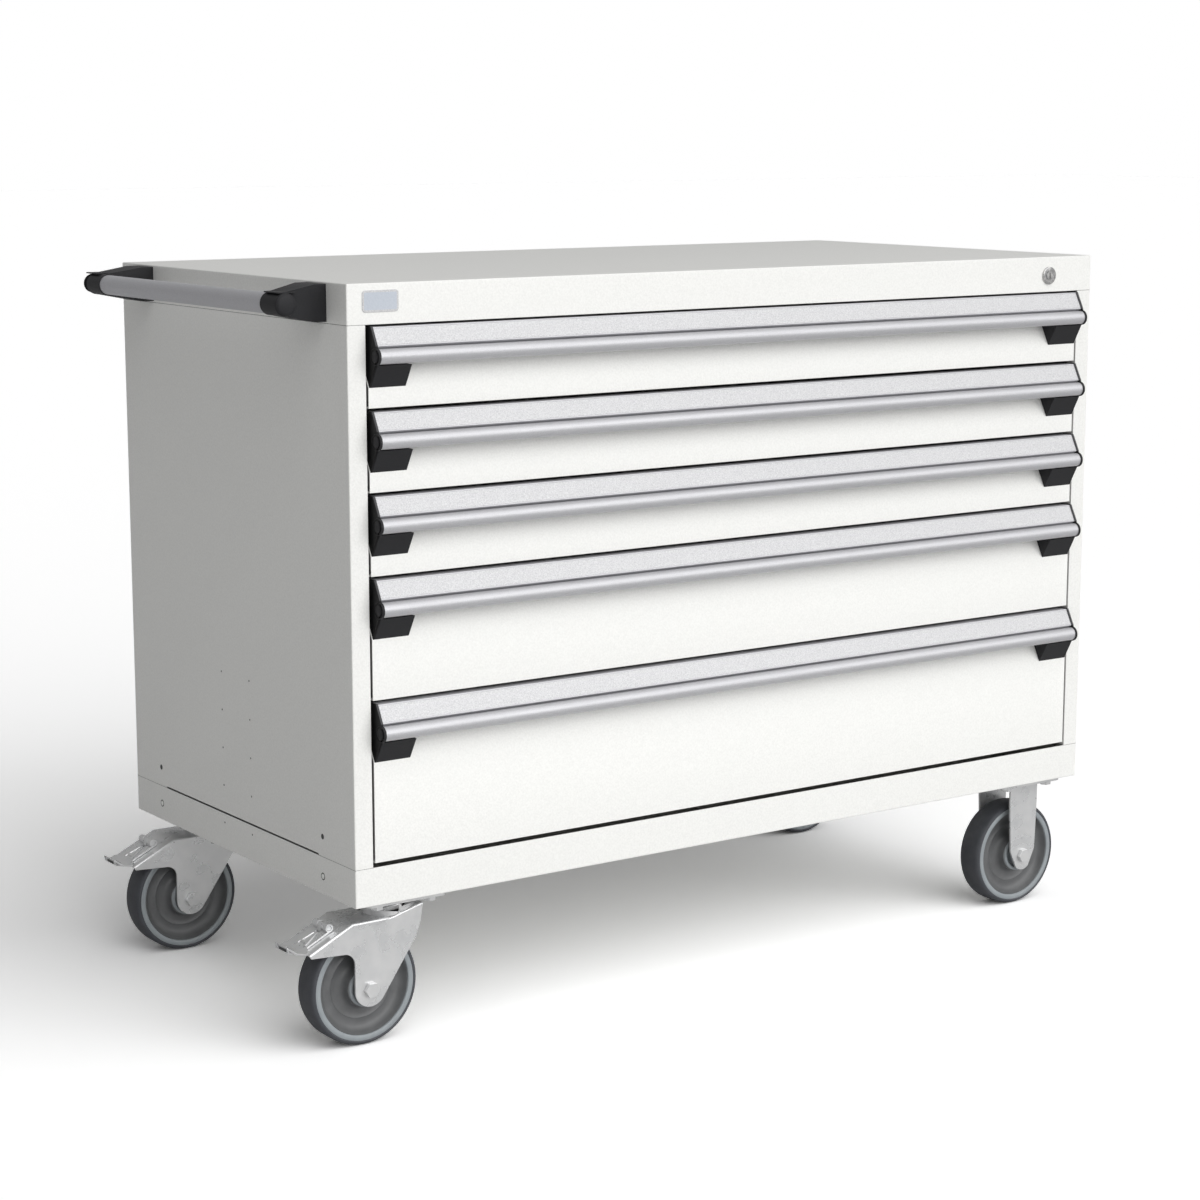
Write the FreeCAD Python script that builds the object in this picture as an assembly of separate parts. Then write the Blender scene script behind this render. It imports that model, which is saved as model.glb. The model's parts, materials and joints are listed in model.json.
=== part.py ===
import FreeCAD
import Part
import os
from math import acos, atan, atan2, cos, pi, radians, sin, sqrt, tan

# Mobile drawer cabinet on casters. Millimetres, +X to the right seen from the front,
# +Y to the back, +Z up. The origin is on the floor, under the middle of the whole object.

# Housing
width = 1219.2
depth = 609.6
height = 762.0
floor_clearance = 190.5
sheet = 1.5
bend_radius = 1.6
lid_skirt = 49.2
base_skirt = 48.7
base_sheet = 2.0
post_width = 25.4
post_return = 18.0
side_slot_height = 2.0
side_slot_inset = 92.0

# Drawer bays from the top down, and the gaps around a drawer front
bay_heights = [101.6, 101.6, 101.6, 152.4, 203.2]
bay_top_gap = 1.6
front_side_gap = 3.0
front_bottom_gap = 3.4
front_top_gap = 3.0

# Drawer front: flat below the bend line, leaning back above it to make the finger recess
recess_bend_drop = 73.7
recess_top_drop = 47.6
recess_depth = 13.6

# Drawer handle: a hollow extrusion with a slanted label face over a round roll
handle_wall = 1.8
label_top_reach = 3.0
label_bottom_reach = 18.0
label_bottom_drop = 24.3
handle_top_drop = 1.0
roll_reach = 15.5
roll_drop = 37.0
roll_radius = 8.5
groove_reach = 11.0
groove_drop = 27.5
handle_back_drop = 46.0
grip_depth = 6.0

# End caps of the drawer handle
cap_thickness = 3.0
cap_rim = 1.4
cap_block_width = 51.6
cap_top_drop = 0.3
cap_block_gap = 0.2

# Drawer box
box_side_inset = 39.0
box_sheet = 1.2
box_depth = depth - 49.6
box_bottom_rise = 8.0
box_top_drop = 14.0

# Telescopic rails: a fixed channel, a middle channel and the drawer's own channel, nested
rail_inset = 26.0
rail_depth = 12.4
rail_height = 45.0
rail_wall = 1.2
rail_clearance = 0.4
rail_lip = 3.0
rail_front_inset = 24.0
rail_length = depth - 51.6
rail_rise = 38.0
rail_foot = 9.0
rail_spacer_height = 24.0

# Lock in the lid's front skirt, and the bar that it lifts
lock_inset = 82.3
lock_drop = 26.3
lock_bezel_radius = 12.3
lock_barrel_radius = 9.5
lock_plug_radius = 6.5
lock_barrel_length = 22.0
lock_bezel_depth = 2.5
keyway_width = 1.6
keyway_length = 8.0
keyway_depth = 9.0
lock_cam_reach = 14.0
lock_cam_thickness = 2.5
lock_cam_width = 8.0
bar_width = 14.0
bar_thickness = 3.0
bar_arm_height = 11.0
bar_side_gap = 2.0
bar_front_gap = 0.3
bar_foot_gap = 4.0

# Push handle on the left side
push_reach = 66.6
push_drop = 23.5
push_tube_radius = 12.7
push_tube_wall = 1.6
push_front_inset = 24.3
push_rear_inset = 59.0
push_socket_depth = 40.0
socket_wall = 1.3
socket_end = 3.0
visor_rise = 0.8
bracket_inset = 48.0
bracket_width = 47.0
bracket_height = 45.0
bracket_top_drop = 2.2
bracket_base = 16.0

# Casters
caster_inset_x = 79.2
caster_inset_y = 58.4
wheel_diameter = 152.4
tread_width = 40.0
tread_thickness = 9.0
tread_round = 4.0
rim_thickness = 7.0
rim_width = 35.0
web_thickness = 9.0
hub_radius = 20.0
hub_length = 59.0
axle_radius = 6.0
axle_head_radius = 9.0
axle_head_height = 6.0
fork_inner = 62.0
fork_sheet = 3.0
fork_lobe_radius = 22.0
running_fit = 0.05
swivel_trail = 45.6
plate_length = 114.3
plate_breadth = 101.6
plate_thickness = 5.0
plate_round = 8.0
plate_hole_spacing = 76.2
plate_hole_radius = 5.15
bolt_radius = 4.75
bolt_head_across = 15.0
bolt_head_height = 6.0
bolt_end = 8.0
upper_race_radius = 30.0
upper_race_height = 4.0
lower_race_radius = 34.0
race_gap = 0.3
kingpin_radius = 6.0
kingpin_head_radius = 9.5
kingpin_head_height = 3.5
fork_deck_drop = 26.0
fork_deck_left = 24.5
fork_deck_right = 29.0
fork_brow_rise = 12.0
arm_reach = 86.0
arm_rise = 58.5
pedal_width = 36.0
pedal_sheet = 2.5
pedal_lift = 0.4
pedal_plate_end = 81.0
pedal_hinge_offset = 48.6
pedal_curl_radius = 5.4
pedal_pin_radius = 3.15
pedal_pin_inset = 1.0
pedal_lug_width = 8.0
pedal_lug_gap = 0.4
tongue_reach = 106.5
tongue_root_width = 62.0
tongue_tip_width = 34.0
tongue_slot_width = 3.0
tongue_slot_length = 20.0
rigid_leg_width = 53.0
rigid_leg_foot = 47.0
rigid_taper_drop = 30.0
rigid_taper_end = 8.0
rigid_foot_flat = 12.0
rigid_foot_cut = 5.0

# Places worked out from the sizes above
reach_left = max(swivel_trail + tongue_reach - caster_inset_x, push_reach + push_tube_radius + socket_wall)
reach_front = roll_reach + roll_radius + cap_rim
left = (reach_left - width) / 2
right = left + width
front = (reach_front - depth) / 2
back = front + depth
bottom = floor_clearance
top = bottom + height
lid_bottom = top - lid_skirt
base_top = bottom + base_skirt
middle_x = (left + right) / 2
middle_y = (front + back) / 2
opening_left = left + post_width
front_left = opening_left + front_side_gap
front_right = right - post_width - front_side_gap
fork_outer = fork_inner + 2 * fork_sheet
wheel_radius = wheel_diameter / 2
os.makedirs("parts", exist_ok=True)


def vec(x, y, z):
    return FreeCAD.Vector(x, y, z)


def block(x0, x1, y0, y1, z0, z1):
    return Part.makeBox(x1 - x0, y1 - y0, z1 - z0, vec(x0, y0, z0))


def rod(start, direction, radius, length):
    return Part.makeCylinder(radius, length, vec(*start), vec(*direction))


def face_from(points):
    loop = [vec(*p) for p in points]
    return Part.Face(Part.makePolygon(loop + loop[:1]))


def prism_x(points, x0, x1):
    return face_from([(x0, y, z) for y, z in points]).extrude(vec(x1 - x0, 0, 0))


def prism_y(points, y0, y1):
    return face_from([(x, y0, z) for x, z in points]).extrude(vec(0, y1 - y0, 0))


def prism_z(points, z0, z1):
    return face_from([(x, y, z0) for x, y in points]).extrude(vec(0, 0, z1 - z0))


def ring_y(x, z, y0, y1, outer, inner):
    outside = rod((x, y0, z), (0, 1, 0), outer, y1 - y0)
    return outside.cut(rod((x, y0 - 1, z), (0, 1, 0), inner, y1 - y0 + 2))


def hexagon_z(x, y, across, z0, z1):
    corner = across / sqrt(3)
    points = [(x + corner * cos(i * pi / 3), y + corner * sin(i * pi / 3)) for i in range(6)]
    return prism_z(points, z0, z1)


def hexagon_y(x, z, across, y0, y1):
    corner = across / sqrt(3)
    points = [(x + corner * cos(i * pi / 3), z + corner * sin(i * pi / 3)) for i in range(6)]
    return prism_y(points, y0, y1)


def mirror_x(shape):
    return shape.mirror(vec(middle_x, 0, 0), vec(1, 0, 0))


def mirror_y(shape):
    return shape.mirror(vec(0, middle_y, 0), vec(0, 1, 0))


def save(name, *shapes):
    solids = [s for shape in shapes for s in shape.Solids]
    whole = solids[0] if len(solids) == 1 else Part.makeCompound(solids)
    whole.exportStep(f"parts/{name}.step")
    print(name, len(solids), "solids, valid", all(s.isValid() for s in solids))


def rounded_edges(shape, radius, wanted):
    edges = [e for e in shape.Edges if wanted(e)]
    return shape.makeFillet(radius, edges)


def on_plane(edge, axis, value):
    box = edge.BoundBox
    low, high = {"x": (box.XMin, box.XMax), "y": (box.YMin, box.YMax), "z": (box.ZMin, box.ZMax)}[axis]
    return abs(low - value) < 0.01 and abs(high - value) < 0.01


def outer_corner(edge):
    return any(on_plane(edge, "x", x) and on_plane(edge, "y", y) for x in (left, right) for y in (front, back))


def lid():
    shell = block(left, right, front, back, lid_bottom, top)
    shell = rounded_edges(shell, bend_radius, lambda e: outer_corner(e) or on_plane(e, "z", top))
    shell = shell.cut(block(left + sheet, right - sheet, front + sheet, back - sheet, lid_bottom - 1, top - sheet))
    lock_hole = rod((right - lock_inset, front - 1, top - lock_drop), (0, 1, 0), lock_barrel_radius, sheet + 2)
    return shell.cut(lock_hole)


def base_frame():
    tray = block(left, right, front, back, bottom, base_top)
    tray = rounded_edges(tray, bend_radius, lambda e: outer_corner(e) or on_plane(e, "z", bottom))
    tray = tray.cut(block(left + sheet, right - sheet, front + sheet, back - sheet, bottom + base_sheet, base_top + 1))
    for x, y in caster_bolt_places():
        tray = tray.cut(rod((x, y, bottom - 1), (0, 0, 1), plate_hole_radius, base_sheet + 2))
    return tray


def side_panel_left():
    # One sheet folded into a front post with a return, the side, and a rear flange
    inner_left = left + sheet
    inner_front = front + sheet
    outline = [(left, front), (opening_left, front), (opening_left, front + post_return),
               (opening_left - sheet, front + post_return), (opening_left - sheet, inner_front),
               (inner_left, inner_front), (inner_left, back - sheet), (opening_left, back - sheet),
               (opening_left, back), (left, back)]
    panel = prism_z(outline, base_top, lid_bottom)
    panel = rounded_edges(panel, bend_radius, outer_corner)
    slot = block(left - 1, inner_left + 1, front + side_slot_inset, back - side_slot_inset,
                 base_top - 1, base_top + side_slot_height)
    return panel.cut(slot)


def back_panel():
    return block(left + sheet + 0.3, right - sheet - 0.3, back - 2 * sheet, back - sheet, base_top, lid_bottom)


def channel(inset, half_height, web_depth, lip):
    # C section open towards the drawer, from its web at the inset to its lips
    far = inset + web_depth
    h = half_height
    w = rail_wall
    return [(inset, -h), (far, -h), (far, -h + lip), (far - w, -h + lip), (far - w, -h + w), (inset + w, -h + w),
            (inset + w, h - w), (far - w, h - w), (far - w, h - lip), (far, h - lip), (far, h), (inset, h)]


def rail_on_left(section, rail_z):
    y0 = front + rail_front_inset
    points = [(left + x, rail_z + z) for x, z in section]
    return prism_y(points, y0, y0 + rail_length)


def fixed_rail(rail_z):
    # The channel and the folded spacer that stands it off the side panel are welded together
    half = rail_spacer_height / 2
    web = rail_inset
    rail = rail_on_left(channel(rail_inset, rail_height / 2, rail_depth, rail_lip), rail_z)
    spacer = [(sheet, -half - rail_foot), (sheet + rail_wall, -half - rail_foot), (sheet + rail_wall, -half),
              (web, -half), (web, half), (sheet + rail_wall, half), (sheet + rail_wall, half + rail_foot),
              (sheet, half + rail_foot), (sheet, half - rail_wall), (web - rail_wall, half - rail_wall),
              (web - rail_wall, -half + rail_wall), (sheet, -half + rail_wall)]
    return rail.fuse(rail_on_left(spacer, rail_z)).removeSplitter()


middle_inset = rail_inset + rail_wall + rail_clearance
middle_half = rail_height / 2 - rail_wall - rail_clearance
middle_depth = rail_depth - 2 * rail_wall - 2 * rail_clearance
inner_inset = middle_inset + rail_wall + rail_clearance
inner_half = middle_half - rail_wall - rail_clearance
inner_head = middle_depth - 2 * rail_wall - 2 * rail_clearance
neck_half = middle_half - rail_lip - rail_clearance


def middle_rail(rail_z):
    return rail_on_left(channel(middle_inset, middle_half, middle_depth, rail_lip), rail_z)


def drawer_rail(rail_z):
    # The head runs inside the middle channel, and the neck reaches the drawer box
    head = inner_inset + inner_head
    w = rail_wall
    n = neck_half
    section = [(inner_inset, -inner_half), (head, -inner_half), (head, -n), (box_side_inset, -n),
               (box_side_inset, -n + w), (inner_inset + w, -n + w), (inner_inset + w, n - w),
               (box_side_inset, n - w), (box_side_inset, n), (head, n), (head, inner_half), (inner_inset, inner_half)]
    return rail_on_left(section, rail_z)


def drawer_box(bay_top, bay_bottom):
    x0 = left + box_side_inset
    x1 = right - box_side_inset
    y0 = front + recess_depth + sheet
    y1 = y0 + box_depth
    z0 = bay_bottom + box_bottom_rise
    z1 = bay_top - box_top_drop
    outside = block(x0, x1, y0, y1, z0, z1)
    return outside.cut(block(x0 + box_sheet, x1 - box_sheet, y0 + box_sheet, y1 - box_sheet, z0 + box_sheet, z1 + 1))


def drawer_front(bay_top, bay_bottom):
    z0 = bay_bottom + front_bottom_gap
    z1 = bay_top - front_top_gap
    bend = bay_top - recess_bend_drop
    recess = bay_top - recess_top_drop
    lean = atan(recess_depth / (recess - bend))
    shift = sheet * tan(lean / 2)
    far = recess_depth + sheet
    outline = [(0, z0), (0, bend), (recess_depth, recess), (recess_depth, z1), (far, z1), (far, recess - shift),
               (sheet, bend - shift), (sheet, z0 + sheet), (far, z0 + sheet), (far, z0)]
    return prism_x([(front + y, z) for y, z in outline], front_left, front_right)


def roll_arc(x, bay_top, start, end):
    # Points of the roll's round front, as an arc between two angles measured from +Y towards +Z
    centre = (front - roll_reach, bay_top - roll_drop)
    angles = [radians(a) for a in (start, (start + end) / 2, end)]
    points = [vec(x, centre[0] + roll_radius * cos(a), centre[1] + roll_radius * sin(a)) for a in angles]
    return Part.Arc(*points).toShape(), points[0], points[2]


def drawer_handle(bay_top):
    x0 = front_left + cap_thickness
    x1 = front_right - cap_thickness

    def at(reach, drop):
        return vec(x0, front - reach, bay_top - drop)

    arc, arc_start, arc_end = roll_arc(x0, bay_top, 50, 300)
    before = [at(-recess_depth, handle_back_drop), at(-recess_depth, handle_top_drop),
              at(label_top_reach, handle_top_drop), at(label_bottom_reach, label_bottom_drop),
              at(label_bottom_reach - handle_wall, label_bottom_drop + 1.1), at(groove_reach, groove_drop), arc_start]
    after = [arc_end, at(grip_depth, groove_drop + 8), at(handle_wall - recess_depth, groove_drop + 6),
             at(handle_wall - recess_depth, handle_back_drop), before[0]]
    outline = Part.Wire([Part.makePolygon(before), arc, Part.makePolygon(after)])
    hollow = Part.makePolygon([at(handle_wall - recess_depth, handle_top_drop + handle_wall),
                               at(label_top_reach - 0.8, handle_top_drop + handle_wall),
                               at(label_bottom_reach - 4.6, label_bottom_drop - 2.0),
                               at(groove_reach - 3.0, groove_drop - handle_wall),
                               at(handle_wall - recess_depth, groove_drop + 4),
                               at(handle_wall - recess_depth, handle_top_drop + handle_wall)])
    extrusion = Part.Face(outline).extrude(vec(x1 - x0, 0, 0))
    extrusion = extrusion.cut(Part.Face(hollow).extrude(vec(x1 - x0, 0, 0)))
    core = rod((x0 - 1, front - roll_reach, bay_top - roll_drop), (1, 0, 0), roll_radius - handle_wall, x1 - x0 + 2)
    return extrusion.cut(core)


def handle_cap_left(bay_top):
    # A side plate with the handle's outline, standing proud of it, and a block under the handle
    bend = bay_top - recess_bend_drop
    recess = bay_top - recess_top_drop
    back_y = front + recess_depth
    slope = sqrt((label_bottom_reach - label_top_reach) ** 2 + (label_bottom_drop - handle_top_drop) ** 2)
    proud_y = cap_rim * (label_bottom_drop - handle_top_drop) / slope
    roll_y = front - roll_reach
    roll_z = bay_top - roll_drop
    plate = prism_x([(front, bend), (back_y, recess), (back_y, bay_top - cap_top_drop),
                     (front - label_top_reach - proud_y, bay_top - cap_top_drop),
                     (front - label_bottom_reach - proud_y, bay_top - label_bottom_drop + 1),
                     (roll_y - 0.6 * roll_radius, roll_z), (roll_y, bay_top - handle_back_drop)],
                    front_left, front_left + cap_thickness)
    disc = rod((front_left, roll_y, roll_z), (1, 0, 0), roll_radius + cap_rim, cap_thickness)
    block_top = bay_top - handle_back_drop - cap_block_gap
    gusset = prism_x([(front, bend), (back_y, recess), (back_y, block_top), (roll_y - 1, block_top)],
                     front_left, front_left + cap_block_width)
    return plate.fuse([disc, gusset]).removeSplitter()


def lock_body():
    x = right - lock_inset
    z = top - lock_drop
    bezel = rod((x, front - lock_bezel_depth, z), (0, 1, 0), lock_bezel_radius, lock_bezel_depth)
    bezel = rounded_edges(bezel, 1.0, lambda e: on_plane(e, "y", front - lock_bezel_depth))
    barrel = rod((x, front, z), (0, 1, 0), lock_barrel_radius, lock_barrel_length)
    bore = rod((x, front - 5, z), (0, 1, 0), lock_plug_radius + running_fit, lock_barrel_length + 10)
    return bezel.fuse(barrel).cut(bore)


def lock_plug():
    x = right - lock_inset
    z = top - lock_drop
    y0 = front - lock_bezel_depth - 0.4
    y1 = front + lock_barrel_length + 0.3
    plug = rod((x, y0, z), (0, 1, 0), lock_plug_radius, y1 - y0 + lock_cam_thickness)
    keyway = block(x - keyway_width / 2, x + keyway_width / 2, y0 - 1, y0 + keyway_depth,
                   z - keyway_length / 2, z + keyway_length / 2)
    half = lock_cam_width / 2
    cam = block(x - half, x + half, y1, y1 + lock_cam_thickness, z - lock_cam_reach, z)
    return plug.fuse(cam).cut(keyway)


def lock_bar():
    # The bar stands in the right post, and its arm reaches from the lid towards the lock
    x1 = right - sheet - bar_side_gap
    x0 = x1 - bar_width
    y0 = front + sheet + bar_front_gap
    arm_z = top - lock_drop
    bar = block(x0, x1, y0, y0 + bar_thickness, base_top + bar_foot_gap, arm_z + bar_arm_height / 2)
    arm = block(right - lock_inset + lock_cam_reach, x1, y0, y0 + bar_thickness,
                arm_z - bar_arm_height / 2, arm_z + bar_arm_height / 2)
    return bar.fuse(arm).removeSplitter()


def push_handle_tube():
    x = left - push_reach
    z = top - push_drop
    y0 = front + push_front_inset + socket_end
    y1 = back - push_rear_inset - socket_end
    return ring_y(x, z, y0, y1, push_tube_radius, push_tube_radius - push_tube_wall)


def push_handle_bracket(end_inset):
    # A foot on the lid's side, an arm that tapers towards the tube, and a round blind socket
    x = left - push_reach
    z = top - push_drop
    socket_radius = push_tube_radius + socket_wall
    y0 = front + end_inset
    y1 = y0 + push_socket_depth
    foot_y0 = front + bracket_inset
    foot_y1 = foot_y0 + bracket_width
    foot_top = top - bracket_top_drop
    foot_bottom = foot_top - bracket_height
    foot_x = left - bracket_base
    foot = block(foot_x, left, foot_y0, foot_y1, foot_bottom, foot_top)
    inner_end = [(foot_x, foot_y0, foot_bottom), (foot_x, foot_y1, foot_bottom),
                 (foot_x, foot_y1, foot_top), (foot_x, foot_y0, foot_top)]
    nose = y0 + socket_end
    visor_top = z + socket_radius + visor_rise
    outer_end = [(x, nose, z - socket_radius), (x, y1, z - socket_radius), (x, y1, visor_top), (x, nose, visor_top)]
    wires = [Part.makePolygon([vec(*p) for p in end + end[:1]]) for end in (inner_end, outer_end)]
    arm = Part.makeLoft(wires, True, True)
    socket = rod((x, y0, z), (0, 1, 0), socket_radius, push_socket_depth)
    socket = rounded_edges(socket, socket_end, lambda e: on_plane(e, "y", y0))
    bore = rod((x, y0 + socket_end, z), (0, 1, 0), push_tube_radius + running_fit, push_socket_depth + bracket_width)
    return foot.fuse([arm, socket]).cut(bore).removeSplitter()


def caster_centres():
    near = [(left + caster_inset_x, front + caster_inset_y), (left + caster_inset_x, back - caster_inset_y)]
    far = [(right - caster_inset_x, y) for x, y in near]
    return near, far


def bolt_pattern(x, y):
    half = plate_hole_spacing / 2
    return [(x + i * half, y + j * half) for i in (-1, 1) for j in (-1, 1)]


def caster_bolt_places():
    near, far = caster_centres()
    return [place for centre in near + far for place in bolt_pattern(*centre)]


def top_plate(x, y):
    half_x = plate_length / 2
    half_y = plate_breadth / 2
    plate = block(x - half_x, x + half_x, y - half_y, y + half_y, bottom - plate_thickness, bottom)
    upright = lambda e: e.BoundBox.ZLength > plate_thickness / 2
    plate = rounded_edges(plate, plate_round, upright)
    for hole_x, hole_y in bolt_pattern(x, y):
        plate = plate.cut(rod((hole_x, hole_y, bottom - plate_thickness - 1), (0, 0, 1),
                              plate_hole_radius, plate_thickness + 2))
    return plate


def swivel_plate(x, y):
    under_plate = bottom - plate_thickness
    race = rod((x, y, under_plate - upper_race_height), (0, 0, 1), upper_race_radius, upper_race_height)
    pin_bottom = bottom - fork_deck_drop - fork_sheet - race_gap - kingpin_head_height
    pin = rod((x, y, pin_bottom), (0, 0, 1), kingpin_radius, under_plate - pin_bottom)
    head = rod((x, y, pin_bottom), (0, 0, 1), kingpin_head_radius, kingpin_head_height)
    return top_plate(x, y).fuse([race, pin, head]).removeSplitter()


def tangent_point(u, v, radius):
    # Where a straight edge that comes down from the right meets a circle around the axle
    angle = atan2(v, u) - acos(radius / sqrt(u * u + v * v))
    return radius * cos(angle), radius * sin(angle)


def deck_rise():
    return bottom - fork_deck_drop - wheel_radius


def slope_rise(u):
    # Height above the axle of the hood's sloping arm, at a distance to the left of the axle
    return arm_rise + (deck_rise() - arm_rise) * (arm_reach - u) / (arm_reach - fork_deck_left)


def swivel_fork(x, y):
    # A pressed hood: two cheeks joined by a deck, with an arm that carries the brake pedal.
    # Offsets are from the wheel's axle, x to the right and z up.
    axle_x = x - swivel_trail
    axle_z = wheel_radius
    deck = deck_rise()
    brow = deck + fork_brow_rise
    lobe = fork_lobe_radius
    cheek = y - fork_outer / 2

    def at(u, v):
        return vec(axle_x + u, cheek, axle_z + v)

    left_touch = at(-lobe, 2)
    right_touch = at(*tangent_point(66, 57, lobe))
    fillet_low, fillet_mid, fillet_high = at(-lobe, 36), at(-lobe - 4.5, 46.5), at(-lobe - 15, 51)
    top_edge = [at(-arm_reach, arm_rise), at(-fork_deck_left, deck), at(fork_deck_right, deck),
                at(77, brow), at(73, 76), at(66, 57), right_touch]
    edges = [Part.makePolygon(top_edge), Part.Arc(right_touch, at(2, -lobe), left_touch).toShape(),
             Part.makePolygon([left_touch, fillet_low]), Part.Arc(fillet_low, fillet_mid, fillet_high).toShape(),
             Part.makePolygon([fillet_high, at(3 - arm_reach, arm_rise - 5), top_edge[0]])]
    hood = Part.Face(Part.Wire(edges)).extrude(vec(0, fork_outer, 0))
    far = 2 * wheel_radius
    inner = [(-far, slope_rise(far) - fork_sheet), (-fork_deck_left, deck - fork_sheet),
             (fork_deck_right, deck - fork_sheet), (77, brow - fork_sheet), (far, brow), (far, -far), (-far, -far)]
    hollow = prism_y([(axle_x + u, axle_z + v) for u, v in inner], y - fork_inner / 2, y + fork_inner / 2)
    race_bottom = bottom - fork_deck_drop - fork_sheet
    race_top = bottom - plate_thickness - upper_race_height - race_gap
    race = rod((x, y, race_bottom), (0, 0, 1), lower_race_radius, race_top - race_bottom)
    race = rounded_edges(race, 3.0, lambda e: on_plane(e, "z", race_top) and e.BoundBox.XLength > 1)
    bore = rod((x, y, race_bottom - 1), (0, 0, 1), kingpin_radius + running_fit, race_top - race_bottom + 2)
    axle_hole = rod((axle_x, y - fork_outer, axle_z), (0, 1, 0), axle_radius, 2 * fork_outer)
    fork = hood.cut(hollow).fuse([race] + pedal_hinge_parts(x, y))
    return fork.cut(bore).cut(axle_hole).removeSplitter()


def pedal_hinge(x):
    slope = atan2(deck_rise() - arm_rise, arm_reach - fork_deck_left)
    rise = slope_rise(pedal_hinge_offset) + (pedal_curl_radius + pedal_lift) / cos(slope)
    return x - swivel_trail - pedal_hinge_offset, wheel_radius + rise


def pedal_hinge_parts(x, y):
    # A lug welded on the arm holds the middle of the pin that the pedal turns on
    hinge_x, hinge_z = pedal_hinge(x)
    reach = pedal_pin_radius + 1.6
    foot = [(u, slope_rise(pedal_hinge_offset - u) + wheel_radius - 0.5) for u in (-reach, reach)]
    outline = [(hinge_x + u, z) for u, z in foot] + [(hinge_x + reach, hinge_z + 1), (hinge_x + 2, hinge_z + reach),
                                                     (hinge_x - 2, hinge_z + reach), (hinge_x - reach, hinge_z + 1)]
    half_lug = pedal_lug_width / 2
    half_pin = pedal_width / 2 - pedal_pin_inset
    pin = rod((hinge_x, y - half_pin, hinge_z), (0, 1, 0), pedal_pin_radius, 2 * half_pin)
    return [prism_y(outline, y - half_lug, y + half_lug), pin]


def brake_pedal(x, y):
    # A curl around the pin, a plate along the arm, and a wide tongue that turns up beyond the arm's end
    hinge_x, hinge_z = pedal_hinge(x)
    axle_x = x - swivel_trail
    half = pedal_width / 2
    slope = atan2(deck_rise() - arm_rise, arm_reach - fork_deck_left)
    low = pedal_lift / cos(slope)
    high = (pedal_lift + pedal_sheet) / cos(slope)

    def over_slope(u, rise):
        return axle_x - u, wheel_radius + slope_rise(u) + rise

    def beyond(u, v):
        return axle_x - u, wheel_radius + arm_rise + v

    plate = prism_y([over_slope(pedal_hinge_offset, low), over_slope(pedal_plate_end + 1, low),
                     over_slope(pedal_plate_end + 1, high), over_slope(pedal_hinge_offset, high)], y - half, y + half)
    root = tongue_root_width / 2
    tip = tongue_tip_width / 2
    tongue = prism_y([over_slope(pedal_plate_end, low), over_slope(arm_reach + 1, low), beyond(tongue_reach - 8.5, 0.1),
                      beyond(tongue_reach, 6.5), beyond(tongue_reach - 1.3, 8.1), beyond(tongue_reach - 9.3, 2.5),
                      over_slope(arm_reach + 2.2, high), over_slope(pedal_plate_end, high)], y - root, y + root)
    outline = [(axle_x - pedal_plate_end + 1, y - half), (axle_x - arm_reach, y - root),
               (axle_x - tongue_reach - 1, y - tip), (axle_x - tongue_reach - 1, y + tip),
               (axle_x - arm_reach, y + root), (axle_x - pedal_plate_end + 1, y + half)]
    tongue = tongue.common(prism_z(outline, 0, bottom))
    slot_x = axle_x - (arm_reach + tongue_reach) / 2
    slot = block(slot_x, slot_x + tongue_slot_width, y - tongue_slot_length / 2,
                 y + tongue_slot_length / 2, 0, bottom)
    curl = rod((hinge_x, y - half, hinge_z), (0, 1, 0), pedal_curl_radius, pedal_width)
    bore = rod((hinge_x, y - half - 1, hinge_z), (0, 1, 0), pedal_pin_radius + running_fit, pedal_width + 2)
    half_lug = pedal_lug_width / 2 + pedal_lug_gap
    room = block(hinge_x - pedal_curl_radius - 3, hinge_x + pedal_curl_radius + 3, y - half_lug, y + half_lug,
                 0, bottom)
    return plate.fuse([tongue.cut(slot), curl]).cut(bore).cut(room).removeSplitter()


def axle(x, y):
    # A hex bolt across the fork, its head to the front and its nut to the back
    half = fork_outer / 2
    shank = rod((x, y - half, wheel_radius), (0, 1, 0), axle_radius, fork_outer)
    head = hexagon_y(x, wheel_radius, 2 * axle_head_radius, y - half - axle_head_height, y - half)
    nut = hexagon_y(x, wheel_radius, 2 * axle_head_radius, y + half, y + half + axle_head_height)
    return shank.fuse([head, nut]).removeSplitter()


def turned_about_y(x, y, profile):
    # The profile's points are radius and offset along the axle
    loop = [vec(x + r, y + offset, wheel_radius) for r, offset in profile]
    section = Part.Face(Part.makePolygon(loop + loop[:1]))
    return section.revolve(vec(x, y, wheel_radius), vec(0, 1, 0), 360)


def wheel_hub(x, y):
    bore = axle_radius + running_fit
    rim_out = wheel_radius - tread_thickness
    rim_in = rim_out - rim_thickness
    half_hub, half_rim, half_web = hub_length / 2, rim_width / 2, web_thickness / 2
    return turned_about_y(x, y, [(bore, -half_hub), (hub_radius - 3, -half_hub), (hub_radius, -half_web),
                                 (rim_in - 5, -half_web), (rim_in, -half_rim), (rim_out, -half_rim),
                                 (rim_out, half_rim), (rim_in, half_rim), (rim_in - 5, half_web),
                                 (hub_radius, half_web), (hub_radius - 3, half_hub), (bore, half_hub)])


def tyre(x, y):
    rim_out = wheel_radius - tread_thickness
    half = tread_width / 2
    ring = turned_about_y(x, y, [(rim_out, -half), (wheel_radius, -half), (wheel_radius, half), (rim_out, half)])
    return rounded_edges(ring, tread_round, lambda e: e.BoundBox.XLength > 2 * wheel_radius - 1)


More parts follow.
